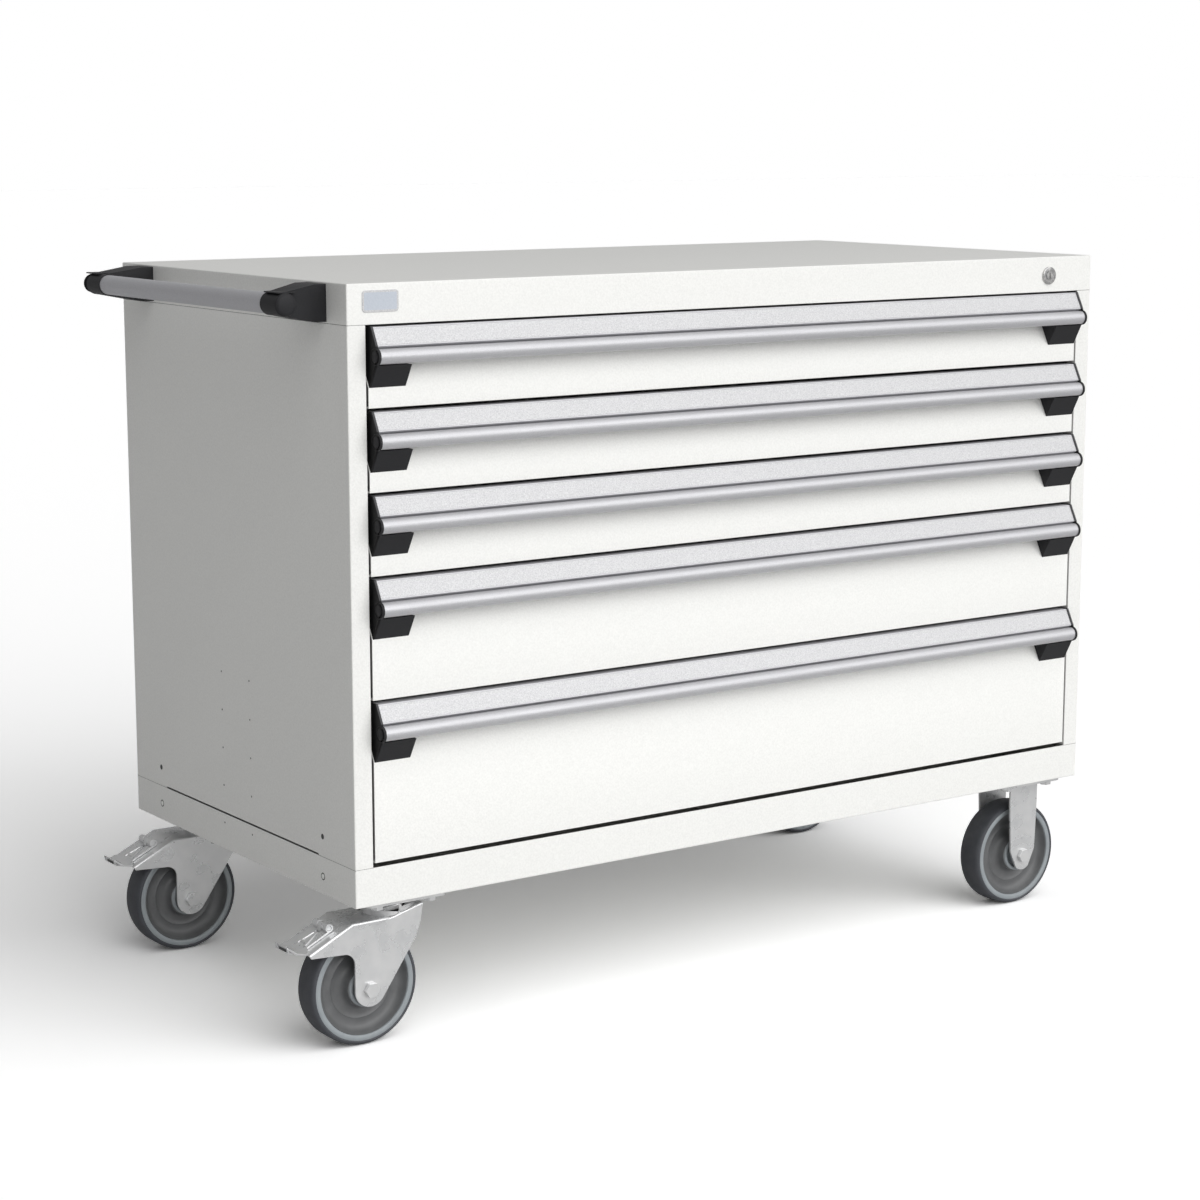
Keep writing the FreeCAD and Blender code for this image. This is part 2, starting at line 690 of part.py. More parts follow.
def rigid_bracket(x, y):
    # A channel hung under its plate, with the axle through its two legs
    half = rigid_leg_width / 2
    foot = rigid_leg_foot / 2
    drop = bottom - plate_thickness
    legs = []
    for y0 in (y - fork_outer / 2, y + fork_inner / 2):
        start = vec(x + foot, y0, wheel_radius + rigid_taper_end)
        end = vec(x - foot, y0, wheel_radius + rigid_taper_end)
        low_right = vec(x + rigid_foot_flat, y0, wheel_radius - fork_lobe_radius + rigid_foot_cut)
        low = vec(x, y0, wheel_radius - fork_lobe_radius)
        low_left = vec(x - rigid_foot_flat, y0, wheel_radius - fork_lobe_radius + rigid_foot_cut)
        shoulder = drop - rigid_taper_drop
        corners = [low_left, end, vec(x - half, y0, shoulder), vec(x - half, y0, drop),
                   vec(x + half, y0, drop), vec(x + half, y0, shoulder), start, low_right]
        wire = Part.Wire([Part.makePolygon(corners), Part.Arc(low_right, low, low_left).toShape()])
        legs.append(Part.Face(wire).extrude(vec(0, fork_sheet, 0)))
    web = block(x - half, x + half, y - fork_outer / 2, y + fork_outer / 2, drop - fork_sheet, drop)
    bracket = top_plate(x, y).fuse(legs + [web])
    hole = rod((x, y - fork_outer, wheel_radius), (0, 1, 0), axle_radius, 2 * fork_outer)
    return bracket.cut(hole).removeSplitter()


def caster_bolt(x, y):
    under = bottom - plate_thickness
    head = hexagon_z(x, y, bolt_head_across, under - bolt_head_height, under)
    shank = rod((x, y, under), (0, 0, 1), bolt_radius, plate_thickness + base_sheet + bolt_end)
    return head.fuse(shank)


def caster_nut(x, y):
    seat = bottom + base_sheet
    nut = hexagon_z(x, y, bolt_head_across, seat, seat + bolt_head_height)
    return nut.cut(rod((x, y, seat - 1), (0, 0, 1), bolt_radius, bolt_head_height + 2))


save("lid", lid())
save("base_frame", base_frame())
save("side_panel_left", side_panel_left())
save("side_panel_right", mirror_x(side_panel_left()))
save("back_panel", back_panel())

fixed_rails = []
bay_top = lid_bottom - bay_top_gap
for number, bay_height in enumerate(bay_heights, 1):
    bay_bottom = bay_top - bay_height
    rail_z = bay_bottom + rail_rise
    cap = handle_cap_left(bay_top)
    fixed_rails += [fixed_rail(rail_z), mirror_x(fixed_rail(rail_z))]
    save(f"drawer_{number}_middle_rails", middle_rail(rail_z), mirror_x(middle_rail(rail_z)))
    save(f"drawer_{number}_rails", drawer_rail(rail_z), mirror_x(drawer_rail(rail_z)))
    save(f"drawer_{number}_box", drawer_box(bay_top, bay_bottom))
    save(f"drawer_{number}_front", drawer_front(bay_top, bay_bottom))
    save(f"drawer_{number}_handle", drawer_handle(bay_top))
    save(f"drawer_{number}_handle_caps", cap, mirror_x(cap))
    bay_top = bay_bottom
save("cabinet_rails", *fixed_rails)

save("lock_body", lock_body())
save("lock_plug", lock_plug())
save("lock_bar", lock_bar())

save("push_handle_tube", push_handle_tube())
save("push_handle_bracket_front", push_handle_bracket(push_front_inset))
save("push_handle_bracket_rear", mirror_y(push_handle_bracket(push_rear_inset)))

swivels, rigids = caster_centres()
save("swivel_plates", *[swivel_plate(x, y) for x, y in swivels])
save("rigid_brackets", *[rigid_bracket(x, y) for x, y in rigids])
save("rigid_axles", *[axle(x, y) for x, y in rigids])
for end, (x, y) in zip(("front", "rear"), swivels):
    save(f"swivel_fork_{end}", swivel_fork(x, y))
    save(f"brake_pedal_{end}", brake_pedal(x, y))
    save(f"swivel_axle_{end}", axle(x - swivel_trail, y))
    save(f"left_wheel_hub_{end}", wheel_hub(x - swivel_trail, y))
    save(f"left_tyre_{end}", tyre(x - swivel_trail, y))
for end, (x, y) in zip(("front", "rear"), rigids):
    save(f"right_wheel_hub_{end}", wheel_hub(x, y))
    save(f"right_tyre_{end}", tyre(x, y))
save("caster_bolts", *[make(x, y) for x, y in caster_bolt_places() for make in (caster_bolt, caster_nut)])
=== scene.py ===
import bpy, bmesh, json
from math import cos, pi, radians, sin, tan
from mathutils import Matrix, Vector


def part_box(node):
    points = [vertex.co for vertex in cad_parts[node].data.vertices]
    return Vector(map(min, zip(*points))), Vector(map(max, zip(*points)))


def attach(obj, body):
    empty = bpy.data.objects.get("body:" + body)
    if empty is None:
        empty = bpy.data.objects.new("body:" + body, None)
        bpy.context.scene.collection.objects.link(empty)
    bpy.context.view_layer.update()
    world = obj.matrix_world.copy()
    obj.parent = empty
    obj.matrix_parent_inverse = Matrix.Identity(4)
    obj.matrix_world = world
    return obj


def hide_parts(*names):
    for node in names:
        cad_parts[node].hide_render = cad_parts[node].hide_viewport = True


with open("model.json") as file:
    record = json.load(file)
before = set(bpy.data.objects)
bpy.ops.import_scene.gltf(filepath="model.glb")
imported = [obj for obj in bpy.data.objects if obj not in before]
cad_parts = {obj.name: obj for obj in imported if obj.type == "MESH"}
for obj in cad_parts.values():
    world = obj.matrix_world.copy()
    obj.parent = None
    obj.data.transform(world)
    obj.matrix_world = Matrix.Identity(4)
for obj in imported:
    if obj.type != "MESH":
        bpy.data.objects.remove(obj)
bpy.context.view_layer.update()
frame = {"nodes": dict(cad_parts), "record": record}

mm = 0.001
lidLow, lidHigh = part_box("lid")
left, front, lidBottom = lidLow
right, back, top = lidHigh
baseLow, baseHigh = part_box("base_frame")
drawerNumbers = range(1, 6)


# Colours are sRGB as given, turned to the linear values that shaders use
def hexColour(code):
    values = [int(code[i:i + 2], 16) / 255 for i in (1, 3, 5)]
    return [v / 12.92 if v <= 0.04045 else ((v + 0.055) / 1.055) ** 2.4 for v in values] + [1.0]


# Adds a node: inputs are values or sockets to link, and the rest are the node's own settings
def addNode(tree, kind, inputs={}, **settings):
    node = tree.nodes.new(kind)
    for name, value in settings.items():
        setattr(node, name, value)
    for name, value in inputs.items():
        if isinstance(value, bpy.types.NodeSocket):
            tree.links.new(value, node.inputs[name])
        else:
            node.inputs[name].default_value = value
    return node


def newMaterial(name, metallic, roughness):
    material = bpy.data.materials.new(name)
    material.use_nodes = True
    tree = material.node_tree
    shader = tree.nodes["Principled BSDF"]
    shader.inputs["Metallic"].default_value = metallic
    shader.inputs["Roughness"].default_value = roughness
    place = addNode(tree, "ShaderNodeTexCoord").outputs["Object"]
    return material, tree, shader, place


# A noise whose grain is so many millimetres long along each axis
def grain(tree, place, size, detail=2.0):
    scaled = addNode(tree, "ShaderNodeMapping", {"Vector": place, "Scale": [1 / (s * mm) for s in size]})
    noise = addNode(tree, "ShaderNodeTexNoise", {"Vector": scaled.outputs[0], "Scale": 1.0, "Detail": detail})
    return noise.outputs[0]


def blendColours(tree, factor, low, high, colours):
    ramp = addNode(tree, "ShaderNodeValToRGB", {"Fac": factor})
    for element, position, code in zip(ramp.color_ramp.elements, (low, high), colours):
        element.position = position
        element.color = hexColour(code)
    return ramp.outputs[0]


def spread(tree, factor, low, high):
    limits = {"Value": factor, "From Min": 0.3, "From Max": 0.7, "To Min": low, "To Max": high}
    return addNode(tree, "ShaderNodeMapRange", limits).outputs[0]


def addBump(tree, shader, height, depth):
    bump = addNode(tree, "ShaderNodeBump", {"Height": height, "Distance": depth * mm, "Strength": 1.0})
    tree.links.new(bump.outputs[0], shader.inputs["Normal"])


# Polyester powder coat on steel: nearly white, satin, with the fine orange peel that baking leaves
def powderCoatBaked(name, colours):
    material, tree, shader, place = newMaterial(name, 0.0, 0.42)
    peel = grain(tree, place, (2.4, 2.4, 2.4), 3.0)  # real peel is about 1 mm, drawn coarser to show
    tree.links.new(blendColours(tree, peel, 0.3, 0.7, colours), shader.inputs["Base Color"])
    tree.links.new(spread(tree, peel, 0.36, 0.50), shader.inputs["Roughness"])
    addBump(tree, shader, peel, 0.16)
    return material


# Anodised aluminium, bead blasted before it: bright, matt and finely speckled
def aluminiumBlasted():
    material, tree, shader, place = newMaterial("aluminiumBlastedAnodised", 0.3, 0.5)
    speck = grain(tree, place, (1.5, 1.5, 1.5), 4.0)  # blasting dimples are 0.2 mm, drawn coarser to show
    tree.links.new(blendColours(tree, speck, 0.32, 0.68, ("#bababc", "#d7d7d8")), shader.inputs["Base Color"])
    addBump(tree, shader, speck, 0.08)
    return material


# Anodised aluminium as extruded: fine die lines along its length, and a soft long highlight
def aluminiumExtruded(name, along, colours, roughness, metallic):
    material, tree, shader, place = newMaterial(name, metallic, roughness)
    size = [0.5, 0.5, 0.5]
    size[along] = 90.0
    lines = grain(tree, place, size)
    speck = grain(tree, place, (1.2, 1.2, 1.2))
    tree.links.new(blendColours(tree, speck, 0.25, 0.75, colours), shader.inputs["Base Color"])
    tree.links.new(spread(tree, lines, roughness - 0.05, roughness + 0.07), shader.inputs["Roughness"])
    addBump(tree, shader, lines, 0.02)
    return material


# Glass-filled nylon, moulded in a spark-eroded tool: black with a fine even grain
def nylonMoulded(name, colours):
    material, tree, shader, place = newMaterial(name, 0.0, 0.48)
    shader.inputs["Specular IOR Level"].default_value = 0.15
    pores = grain(tree, place, (0.9, 0.9, 0.9), 3.0)
    tree.links.new(blendColours(tree, pores, 0.3, 0.7, colours), shader.inputs["Base Color"])
    tree.links.new(spread(tree, pores, 0.42, 0.56), shader.inputs["Roughness"])
    addBump(tree, shader, pores, 0.05)
    return material


# Pressed steel, bright zinc plated: a cool grey metal with faint clouds and roll marks
def steelZincPlated():
    material, tree, shader, place = newMaterial("steelPressedZincPlated", 0.6, 0.3)
    cloud = grain(tree, place, (30, 30, 30), 3.0)
    marks = grain(tree, place, (5.0, 5.0, 30.0))
    tree.links.new(blendColours(tree, cloud, 0.3, 0.7, ("#d4d5d6", "#e0e0e0")), shader.inputs["Base Color"])
    tree.links.new(spread(tree, cloud, 0.24, 0.34), shader.inputs["Roughness"])
    addBump(tree, shader, marks, 0.004)
    return material


# Hot-dip galvanised strip: dull grey metal with centimetre-wide spangles
def steelGalvanised():
    material, tree, shader, place = newMaterial("steelStripGalvanised", 0.9, 0.4)
    spangle = addNode(tree, "ShaderNodeTexVoronoi", {"Vector": place, "Scale": 1 / (9 * mm)}).outputs["Color"]
    tree.links.new(blendColours(tree, spangle, 0.1, 0.9, ("#8d9093", "#b3b6b8")), shader.inputs["Base Color"])
    tree.links.new(spread(tree, spangle, 0.32, 0.46), shader.inputs["Roughness"])
    return material


# Thermoplastic rubber, moulded: dark slate grey, matt, with a fine grain
def rubberMoulded():
    material, tree, shader, place = newMaterial("rubberTyreMoulded", 0.0, 0.62)
    pores = grain(tree, place, (1.1, 1.1, 1.1), 3.0)
    dust = grain(tree, place, (30, 30, 30), 4.0)
    tree.links.new(blendColours(tree, dust, 0.35, 0.75, ("#404247", "#4e5055")), shader.inputs["Base Color"])
    tree.links.new(spread(tree, pores, 0.55, 0.70), shader.inputs["Roughness"])
    addBump(tree, shader, pores, 0.06)
    return material


# Polypropylene, moulded: an even grey with a soft sheen
def polypropyleneMoulded(name, colours):
    material, tree, shader, place = newMaterial(name, 0.0, 0.42)
    flow = grain(tree, place, (22, 22, 22), 3.0)
    pores = grain(tree, place, (0.8, 0.8, 0.8))
    tree.links.new(blendColours(tree, flow, 0.3, 0.7, colours), shader.inputs["Base Color"])
    tree.links.new(spread(tree, flow, 0.36, 0.50), shader.inputs["Roughness"])
    addBump(tree, shader, pores, 0.03)
    return material


# Turned brass, satin nickel plated: a warm light grey metal with faint turning rings
def brassNickelPlated():
    material, tree, shader, place = newMaterial("brassTurnedNickelPlated", 1.0, 0.25)
    cloud = grain(tree, place, (6, 6, 6), 3.0)
    tree.links.new(blendColours(tree, cloud, 0.3, 0.7, ("#a9a9aa", "#c9c8c6")), shader.inputs["Base Color"])
    tree.links.new(spread(tree, cloud, 0.20, 0.34), shader.inputs["Roughness"])
    return material


whiteCoat = powderCoatBaked("powderCoatWhiteBaked", ("#eeeeeb", "#f7f7f4"))
labelFace = aluminiumBlasted()
handleMetal = aluminiumExtruded("aluminiumExtrudedSilver", 0, ("#bcbcbf", "#cbcbce"), 0.46, 0.5)
tubeMetal = aluminiumExtruded("aluminiumDrawnGrey", 1, ("#b4b4b8", "#c4c4c8"), 0.48, 0.3)
blackNylon = nylonMoulded("nylonBlackMoulded", ("#28282a", "#303032"))
# A darker copy of the black nylon for the handle caps' end plates: painted shade on their outer faces
paintedShadeNylon = nylonMoulded("nylonBlackPaintedShade", ("#161617", "#1c1c1d"))
# A lighter copy of the black nylon for the caps' front edges: painted highlight
paintedHighlightNylon = nylonMoulded("nylonBlackPaintedHighlight", ("#454547", "#4f4f51"))
zincSteel = steelZincPlated()
galvanised = steelGalvanised()
tyreRubber = rubberMoulded()
wheelGrey = polypropyleneMoulded("polypropyleneDarkGreyMoulded", ("#5f6061", "#6b6c6d"))
wheelLight = polypropyleneMoulded("polypropyleneLightGreyMoulded", ("#8e9498", "#9aa0a3"))
nickel = brassNickelPlated()
badgeEnamel = powderCoatBaked("enamelPaleGreyStoved", ("#bcc3cd", "#c4cad3"))
# Near-black paint for holes, dimples, slots and screw recesses: painted shade where light does not reach
# inside them
holeShadePainted = powderCoatBaked("paintedShadeDark", ("#2b2b2b", "#363636"))
# Mid grey for the strips in the housing seams: painted shade in the joints
seamShadePainted = powderCoatBaked("paintedShadeGrey", ("#70706e", "#7c7c7a"))
print("materials made")

nodeMaterials = {"white_powder_coat": whiteCoat, "anodised_aluminium": handleMetal, "grey_tube": tubeMetal,
                 "black_plastic": blackNylon, "galvanised_steel": galvanised, "zinc_plated_steel": zincSteel,
                 "lock_metal": nickel, "wheel_plastic": wheelGrey, "tyre_rubber": tyreRubber}
slotOfNode = {part["node"]: part["material_slot"] for part in frame["record"]["subparts"]}
bodyOfNode = {node: body for body, nodes in frame["record"]["behaviour"]["bodies"].items() for node in nodes}
for nodeName, nodeObject in frame["nodes"].items():
    for slotNumber in range(len(nodeObject.data.materials)):
        nodeObject.data.materials[slotNumber] = nodeMaterials[slotOfNode[nodeName]]


# ---- making meshes
def newPiece(name, mesh, material, body, replaced=()):
    piece = bpy.data.objects.new(name, mesh)
    bpy.context.scene.collection.objects.link(piece)
    mesh.materials.clear()
    mesh.materials.append(material)
    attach(piece, body)
    if replaced:
        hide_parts(*replaced)
    return piece


def finishMesh(shape, smoothAngle=32):
    mesh = bpy.data.meshes.new("mesh")
    shape.to_mesh(mesh)
    shape.free()
    mesh.shade_smooth()
    mesh.set_sharp_from_angle(angle=radians(smoothAngle))
    return mesh


def closeMesh(shape, smoothAngle=32):
    bmesh.ops.recalc_face_normals(shape, faces=shape.faces)
    return finishMesh(shape, smoothAngle)


def softenEdges(piece, width, segments=2):
    bevel = piece.modifiers.new("softEdges", "BEVEL")
    bevel.width = width * mm
    bevel.segments = segments
    bevel.limit_method = "ANGLE"
    bevel.angle_limit = radians(38)
    bevel.harden_normals = True
    bevel.miter_outer = "MITER_ARC"


# Turns corners given as (across, up, radius) into a round-cornered outline
def roundOutline(corners, steps=5):
    outline = []
    for i, (u, v, radius) in enumerate(corners):
        here = Vector((u, v))
        if radius == 0:
            outline.append(here)
            continue
        before = (Vector(corners[i - 1][:2]) - here).normalized()
        after = (Vector(corners[(i + 1) % len(corners)][:2]) - here).normalized()
        half = before.angle(after) / 2
        cut = radius / tan(half)
        start, end = here + before * cut, here + after * cut
        centre = here + (before + after).normalized() * (radius / sin(half))
        for k in range(steps + 1):
            point = start.lerp(end, k / steps) - centre
            outline.append(centre + point.normalized() * radius)
    return outline


def arcPoints(centre, radius, start, end, steps):
    angles = [radians(start + (end - start) * k / steps) for k in range(steps + 1)]
    return [(centre[0] + radius * cos(a), centre[1] + radius * sin(a), 0) for a in angles]


# A solid between two rings of the same number of points
def addBlock(shape, firstPoints, lastPoints):
    first, last = ([shape.verts.new(point) for point in points] for points in (firstPoints, lastPoints))
    shape.faces.new(first)
    shape.faces.new(last[::-1])
    for i in range(len(first)):
        j = (i + 1) % len(first)
        shape.faces.new([first[i], last[i], last[j], first[j]])


def addPrism(shape, outline, low, high, axis=0):
    # The outline's two numbers are the other two axes, in their order
    def ringAt(end):
        return [[u, v][:axis] + [end] + [u, v][axis:] for u, v in outline]

    addBlock(shape, ringAt(low), ringAt(high))


def addTurned(shape, profile, x, z, steps=112):
    # The profile is (radius, y); it turns about the axle that runs along Y
    rings = []
    for k in range(steps):
        a = 2 * pi * k / steps
        rings.append([shape.verts.new((x + r * cos(a), y, z + r * sin(a))) for r, y in profile])
    for k in range(steps):
        ring, after = rings[k], rings[(k + 1) % steps]
        for i in range(len(profile)):
            j = (i + 1) % len(profile)
            shape.faces.new([ring[i], after[i], after[j], ring[j]])


# A CAD sheet or casting with its edges eased: the same shape, with corners that catch the light
def easedCopy(node, width, segments=2):
    shape = bmesh.new()
    shape.from_mesh(frame["nodes"][node].data)
    bmesh.ops.remove_doubles(shape, verts=shape.verts, dist=0.004 * mm)
    bmesh.ops.dissolve_limit(shape, angle_limit=radians(0.3), verts=shape.verts, edges=shape.edges)
    slot = slotOfNode[node]
    piece = newPiece(node + "_eased", finishMesh(shape), nodeMaterials[slot], bodyOfNode[node], [node])
    if width:
        softenEdges(piece, width, segments)
    return piece


# ---- round things that repeat: one node group puts a stepped round stud on each point of a mesh
def buildStuds(name, places, facing, steps, material, body, corners):
    # Steps are (radius, rise) cylinders one on another, in millimetres; facing is where their tops look
    base = bpy.data.meshes.new(name + "_points")
    base.from_pydata([Vector(place) for place in places], [], [])
    holder = bpy.data.objects.new(name, base)
    bpy.context.scene.collection.objects.link(holder)
    tree = bpy.data.node_groups.new(name + "_nodes", "GeometryNodeTree")
    face = tree.interface
    for title, kind in (("Geometry", "Geometry"), ("Facing", "Vector"), ("Corners", "Int"),
                        ("Material", "Material")):
        face.new_socket(title, in_out="INPUT", socket_type="NodeSocket" + kind)
    face.new_socket("Geometry", in_out="OUTPUT", socket_type="NodeSocketGeometry")
    given = addNode(tree, "NodeGroupInput").outputs
    joined = addNode(tree, "GeometryNodeJoinGeometry")
    height = 0.0
    for radius, rise in steps:
        sizes = {"Vertices": given["Corners"], "Radius": radius * mm, "Depth": rise * mm}
        stud = addNode(tree, "GeometryNodeMeshCylinder", sizes).outputs["Mesh"]
        raised = (0, 0, (height + rise / 2) * mm)
        lift = addNode(tree, "GeometryNodeTransform", {"Geometry": stud, "Translation": raised})
        tree.links.new(lift.outputs[0], joined.inputs[0])
        height += rise
    turn = addNode(tree, "FunctionNodeAlignRotationToVector", {"Vector": given["Facing"]}, axis="Z")
    copies = {"Points": given["Geometry"], "Instance": joined.outputs[0], "Rotation": turn.outputs[0]}
    spots = addNode(tree, "GeometryNodeInstanceOnPoints", copies)
    real = addNode(tree, "GeometryNodeRealizeInstances", {"Geometry": spots.outputs[0]})
    painting = {"Geometry": real.outputs[0], "Material": given["Material"]}
    painted = addNode(tree, "GeometryNodeSetMaterial", painting)
    addNode(tree, "NodeGroupOutput", {0: painted.outputs[0]})
    modifier = holder.modifiers.new("studs", "NODES")
    modifier.node_group = tree
    sockets = {item.name: item.identifier for item in face.items_tree if item.in_out == "INPUT"}
    modifier[sockets["Facing"]] = list(facing)
    modifier[sockets["Corners"]] = corners
    modifier[sockets["Material"]] = material
    bpy.context.view_layer.update()
    seen = holder.evaluated_get(bpy.context.evaluated_depsgraph_get())
    mesh = bpy.data.meshes.new_from_object(seen)
    bpy.data.objects.remove(holder)
    mesh.shade_smooth()
    mesh.set_sharp_from_angle(angle=radians(35))
    newPiece(name, mesh, material, body)


# ---- housing
for panel in ("lid", "base_frame", "side_panel_left", "side_panel_right"):
    easedCopy(panel, 0.8)
for number in drawerNumbers:
    easedCopy(f"drawer_{number}_front", 0.5)
print("housing made")

# ---- drawer handles
# reach is forward of the housing's front, drop is down from the bay's top, in millimetres
handle = {"back": -13.6, "top": 1.0, "labelTop": (4.2, 1.0), "labelBottom": (15.6, 23.0), "lip": 1.5,
          "recess": 0.6, "groove": (10.4, 26.4), "roll": (14.9, 35.6), "rollRadius": 9.3,
          "foot": 46.0, "wall": 1.8, "grip": (6.0, 35.5), "grooveRise": 0.5, "gripRoom": 6.0,
          "faceInset": 1.7, "faceProud": -0.12, "faceEndGap": 0.2}
labelLength = (Vector(handle["labelBottom"]) - Vector(handle["labelTop"])).length


def labelPoint(along, proud):
    start, end = Vector(handle["labelTop"]), Vector(handle["labelBottom"])
    down = (end - start).normalized()
    return start + down * along + Vector((down.y, -down.x)) * proud


def handleOutline():
    lip, recess = handle["lip"], -handle["recess"]
    label = [(*labelPoint(0, 0), 0.5), (*labelPoint(lip, 0), 0.2), (*labelPoint(lip, recess), 0),
             (*labelPoint(labelLength - lip, recess), 0), (*labelPoint(labelLength - lip, 0), 0.2),
             (*labelPoint(labelLength, 0), 0.5)]
    roll = arcPoints(handle["roll"], handle["rollRadius"], 130, -120, 30)
    roll = [(u, 2 * handle["roll"][1] - v, 0) for u, v, _ in roll]
    wallBack = handle["back"] + handle["wall"]
    grooveTop = labelPoint(labelLength + handle["grooveRise"], -handle["wall"])
    groove = [(*grooveTop, 0.3), (*handle["groove"], 1.0)]
    inside = [(*handle["grip"], 1.5), (wallBack, handle["groove"][1] + handle["gripRoom"], 1.5),
              (wallBack, handle["foot"], 0.4)]
    corners = [(handle["back"], handle["foot"], 0.4), (handle["back"], handle["top"], 0.3)] + label + groove
    return roundOutline(corners + roll + inside)


def toFront(outline, bayTop):
    return [(front - u * mm, bayTop - v * mm) for u, v in outline]


# disc is how deep and how far inside the disc's edge each ring of its face lies
cap = {"thickness": 3.8, "discProud": 0.9, "rim": 1.2, "bend": (0.0, 73.7), "recess": (-13.6, 47.6),
       "top": 0.4, "pastTop": 0.6, "shortOfBottom": 1.0, "shoulder": (4.0, 8.0),
       "blockStart": 3.0, "blockWidth": 51.6, "blockTop": 46.2,
       "edgeSpan": (-0.3, 0.5), "edgeProud": 0.1, "edgeSunk": 0.8, "edgeInset": 1.0,
       "disc": ((0.0, 4.0), (0.4, 3.5), (2.4, 3.4), (2.4, 1.0), (0.5, 0.9), (0.5, 0.4), (0.9, 0.0)),
       "discCorners": 48}


def capOutline():
    rollX, rollZ = handle["roll"]
    across, above = cap["shoulder"]
    return roundOutline([(*cap["bend"], 0), (*cap["recess"], 0), (cap["recess"][0], cap["top"], 0.5),
                         (*labelPoint(-cap["pastTop"], cap["rim"]), 1.2),
                         (*labelPoint(labelLength - cap["shortOfBottom"], cap["rim"]), 0.6),
                         (rollX + across, rollZ - above, 0), (rollX, handle["foot"], 0)])


def addDisc(shape, outer, inward, y, z):
    radius, corners = handle["rollRadius"] + cap["rim"], cap["discCorners"]
    angles = [2 * pi * k / corners for k in range(corners)]
    rings = []
    for depthIn, less in (*cap["disc"], (cap["thickness"], 0.0)):
        x, r = outer + inward * depthIn * mm, (radius - less) * mm
        rings.append([shape.verts.new((x, y + r * cos(a), z + r * sin(a))) for a in angles])
    for ring, after in zip(rings, rings[1:]):
        for k in range(corners):
            j = (k + 1) % corners
            shape.faces.new([ring[k], ring[j], after[j], after[k]])
    shape.faces.new(rings[0])
    shape.faces.new(rings[-1])


def buildHandle(number):
    low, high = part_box(f"drawer_{number}_handle")
    capLow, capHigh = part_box(f"drawer_{number}_handle_caps")
    bayTop = high.z + handle["top"] * mm
    body = f"drawer_{number}"
    capEnds = ((capLow.x, 1), (capHigh.x, -1))

    # The same outline at both ends, from start to end millimetres inwards
    def atBothEnds(outline, start, end):
        shape = bmesh.new()
        for outer, inward in capEnds:
            span = sorted((outer + inward * start * mm, outer + inward * end * mm))
            addPrism(shape, toFront(outline, bayTop), *span)
        return closeMesh(shape)

    shape = bmesh.new()
    addPrism(shape, toFront(handleOutline(), bayTop), low.x, high.x)
    newPiece(f"handle_extrusion_{number}", closeMesh(shape), handleMetal, body,
             [f"drawer_{number}_handle"])

    # The blasted face lies in the shallow recess between the extrusion's two lips
    inset, proud, sunk = handle["faceInset"], handle["faceProud"], -handle["recess"]
    face = [labelPoint(s, d) for s, d in ((inset, sunk), (inset, proud), (labelLength - inset, proud),
                                          (labelLength - inset, sunk))]
    endGap = handle["faceEndGap"] * mm
    shape = bmesh.new()
    addPrism(shape, toFront(face, bayTop), low.x + endGap, high.x - endGap)
    newPiece(f"handle_face_{number}", closeMesh(shape), labelFace, body)

    # The end plates take the darker nylon, painted shade on their outer faces
    mesh = atBothEnds(capOutline(), cap["discProud"], cap["thickness"])
    plates = newPiece(f"cap_plates_{number}", mesh, paintedShadeNylon, body,
                      [f"drawer_{number}_handle_caps"])
    softenEdges(plates, 0.5)

    # A lighter strip along the cap's edge beside the slanted face: painted highlight where that edge face
    # catches the light
    edgeTop, edgeBottom = cap["edgeSpan"][0], labelLength + cap["edgeSpan"][1]
    proud, sunk = cap["rim"] + cap["edgeProud"], cap["rim"] - cap["edgeSunk"]
    edge = [labelPoint(s, d) for s, d in ((edgeTop, proud), (edgeBottom, proud), (edgeBottom, sunk),
                                          (edgeTop, sunk))]
    mesh = atBothEnds(edge, cap["edgeInset"], cap["thickness"] + cap["edgeProud"])
    newPiece(f"cap_edges_{number}", mesh, paintedHighlightNylon, body)

    rollX, rollZ = handle["roll"]
    shape = bmesh.new()
    for outer, inward in capEnds:
        addDisc(shape, outer, inward, front - rollX * mm, bayTop - rollZ * mm)
    newPiece(f"cap_discs_{number}", closeMesh(shape, 40), blackNylon, body)

    block = roundOutline([(*cap["bend"], 0), (*cap["recess"], 0), (cap["recess"][0], cap["blockTop"], 0),
                          (rollX + 1, cap["blockTop"], 0)])
    mesh = atBothEnds(block, cap["blockStart"], cap["blockWidth"])
    blocks = newPiece(f"cap_blocks_{number}", mesh, blackNylon, body)
    softenEdges(blocks, 0.6)


for number in drawerNumbers:
    buildHandle(number)
print("drawer handles made")

# ---- push handle
for side in ("front", "rear"):
    easedCopy(f"push_handle_bracket_{side}", 1.0, 3)

tube = {"wall": 1.6}


def buildPushTube():
    low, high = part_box("push_handle_tube")
    radius = (high.x - low.x) / 2
    x, z = (low.x + high.x) / 2, (low.z + high.z) / 2
    shape = bmesh.new()
    inner = radius - tube["wall"] * mm
    addTurned(shape, [(inner, low.y), (radius, low.y), (radius, high.y), (inner, high.y)], x, z, 72)
    newPiece("push_tube", closeMesh(shape), tubeMetal, "cabinet", ["push_handle_tube"])


buildPushTube()


# The closed end of a socket is a shallow dome
dome = {"radius": 12.2, "rise": 2.6, "sunk": 0.4, "depth": 2.0, "pole": 0.05, "steps": 10}


